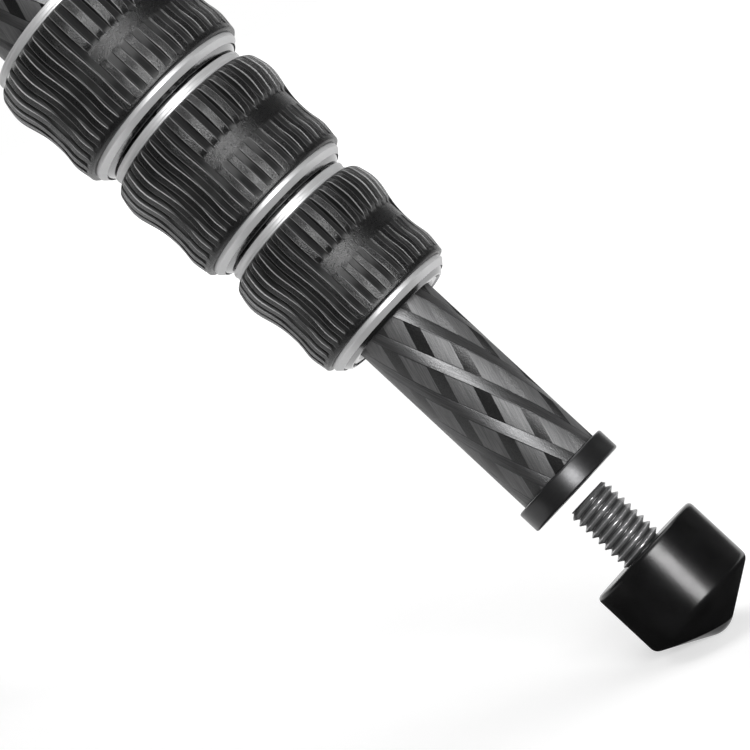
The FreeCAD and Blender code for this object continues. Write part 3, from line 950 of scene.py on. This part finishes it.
foot_rubber = foot_finish()
for leg in LEGS:
    origin, *directions = leg_axes(leg)
    start, _, _ = reach(f"leg_{leg}_foot_stud", origin, directions[2])
    face, _, _ = reach(f"leg_{leg}_foot_pad", origin, directions[2])
    thread, root = threaded(THREAD_RADIUS, start, face + STUD_SUNK)
    # The root mark carries the stud's painted shade in the thread's root and painted highlight on its crest.
    skin(f"leg_{leg}_threaded_stud", thread, (origin, *directions), stud_steel,
         f"leg_{leg}_foot", [f"leg_{leg}_foot_stud"], closed=False, marks={"root": root})
    slope = np.arctan2(FOOT_RADIUS, CONE_LENGTH)
    ball = face + CYLINDER_LENGTH + CONE_LENGTH - FOOT_TIP / np.sin(slope)
    lean = np.linspace(slope, np.pi / 2, 12)[:-1]
    tip_round = np.stack([FOOT_TIP * np.cos(lean), ball + FOOT_TIP * np.sin(lean)], axis=1)
    outline = [(0.0030, face + 0.0003), (FOOT_RADIUS, face),
               (FOOT_RADIUS, face + CYLINDER_LENGTH), tip_round[0]]
    top = rounded(outline, FOOT_EDGE, closed=False, steps=7)
    skin(f"leg_{leg}_rubber_foot", turned(np.concatenate([top[:-1], tip_round])), (origin, *directions),
         foot_rubber, f"leg_{leg}_foot", [f"leg_{leg}_foot_pad"], closed=False)


# The leg heads and latches. A head is a painted fork on the hinge bolt with a
# socket for the upper tube; the latch slides in the fork and has a thumb tab.
LATCH_EDGE = 0.0004
latch_metal = aluminium_finish("latch_metal", (0.24, 0.24, 0.244), (0.32, 0.32, 0.324), 0.42)
for leg in LEGS:
    eased(f"leg_{leg}_head_casting", f"leg_{leg}_head", casting, CAST_EDGE, f"leg_{leg}_upper")
    eased(f"leg_{leg}_latch_tab", f"leg_{leg}_latch", latch_metal, LATCH_EDGE,
          f"leg_{leg}_latch")


# The latches' thumb pads. Each is a ridged metal pad on the outside of a latch's
# tab, for pulling the latch back out of its notch.
PAD_OUT = 0.01885
PAD_SUNK = 0.0003
PAD_START = 0.0091
PAD_LENGTH = 0.0083
PAD_CORNER = 0.12
PAD_RISE = 0.0006
PAD_HALF_WIDTH = 0.0058
PAD_RIDGES = 6


def thumb_pad(start, length):
    """Rings of a pad: a rectangle with rounded corners whose outer side rises and falls.

    The outer side stands PAD_RISE out, times 0.35 plus 0.65 of the size of a sine
    that makes PAD_RIDGES ridges along the pad. Over the first and last twelfth it
    falls evenly to nothing.
    """
    share = np.linspace(0, 1, 12 * PAD_RIDGES + 1)
    ends = np.minimum(1, 12 * np.minimum(share, 1 - share))
    rise = PAD_RISE * (0.35 + 0.65 * np.abs(np.sin(np.pi * PAD_RIDGES * share))) * ends
    corner = rounded([(0, -1), (1, -1), (1, 1), (0, 1)], PAD_CORNER)
    out = PAD_OUT - PAD_SUNK + (PAD_SUNK + rise[:, None]) * corner[None, :, 0]
    across = np.broadcast_to(PAD_HALF_WIDTH * corner[None, :, 1], out.shape)
    return np.stack([out, across, np.broadcast_to((start + length * share)[:, None], out.shape)], axis=-1)


for leg in LEGS:
    origin, *directions = leg_axes(leg)
    _, stop, _ = reach(f"leg_{leg}_latch", origin, directions[2])
    skin(f"leg_{leg}_latch_pad", thumb_pad(stop - PAD_START, PAD_LENGTH), (origin, *directions), latch_metal,
         f"leg_{leg}_latch", closed=False)


# The column's twist lock. A bright sleeve above the spider with a ribbed rubber
# grip round it.
COLUMN_RING = 0.0174
COLUMN_RING_BEVEL = 0.0008
COLUMN_BARREL = COLUMN_RING - 0.0015
COLUMN_GRIP_BORE = COLUMN_RING - 0.0014
COLUMN_RING_GAP = 0.0005
COLUMN_GRIP_ROWS = 26
COLUMN_GROOVE = 0.0011
low, high, _ = reach("column_lock_ring", np.zeros(3), UP)
grip_low, grip_high, grip_radius = reach("column_lock_grip", np.zeros(3), UP)
inner = column_radius + COLUMN_RING_GAP
outline = rounded([(inner, low), (COLUMN_RING - COLUMN_RING_BEVEL, low),
                   (COLUMN_RING, low + COLUMN_RING_BEVEL), (COLUMN_RING, grip_low),
                   (COLUMN_BARREL, grip_low), (COLUMN_BARREL, high), (inner, high)], 0.0002)
skin("column_bright_sleeve", turned(outline, SLEEVE_COLUMNS), column_axes, bright,
     "column_lock", ["column_lock_ring"])
angle, across = rib_columns()
share = np.linspace(0, 1, COLUMN_GRIP_ROWS)[:, None]
level = grip_low + share * (grip_high - grip_low)
crest = grip_radius - 0.0012 * (2 * share - 1) ** 2 - 0.0008 * (2 * share - 1) ** 8
window = eased_step(share, 0.06, 0.14) * (1 - eased_step(share, 0.86, 0.94))
cut = groove_cut(across)[None, :] * window
outer = round_axis(crest - COLUMN_GROOVE * cut, angle, level)
inner = grip_bore(COLUMN_GRIP_BORE, angle, (grip_high, grip_low))
# Its groove and edge marks carry the rubber's painted shade in the grooves and painted highlight along their
# edges.
skin("column_rubber_grip", np.concatenate([outer, inner]), column_axes, rubber, "column_lock",
     ["column_lock_grip"], marks={"groove": cut, "edge": edge_highlight_mark(across)[None, :] * window})
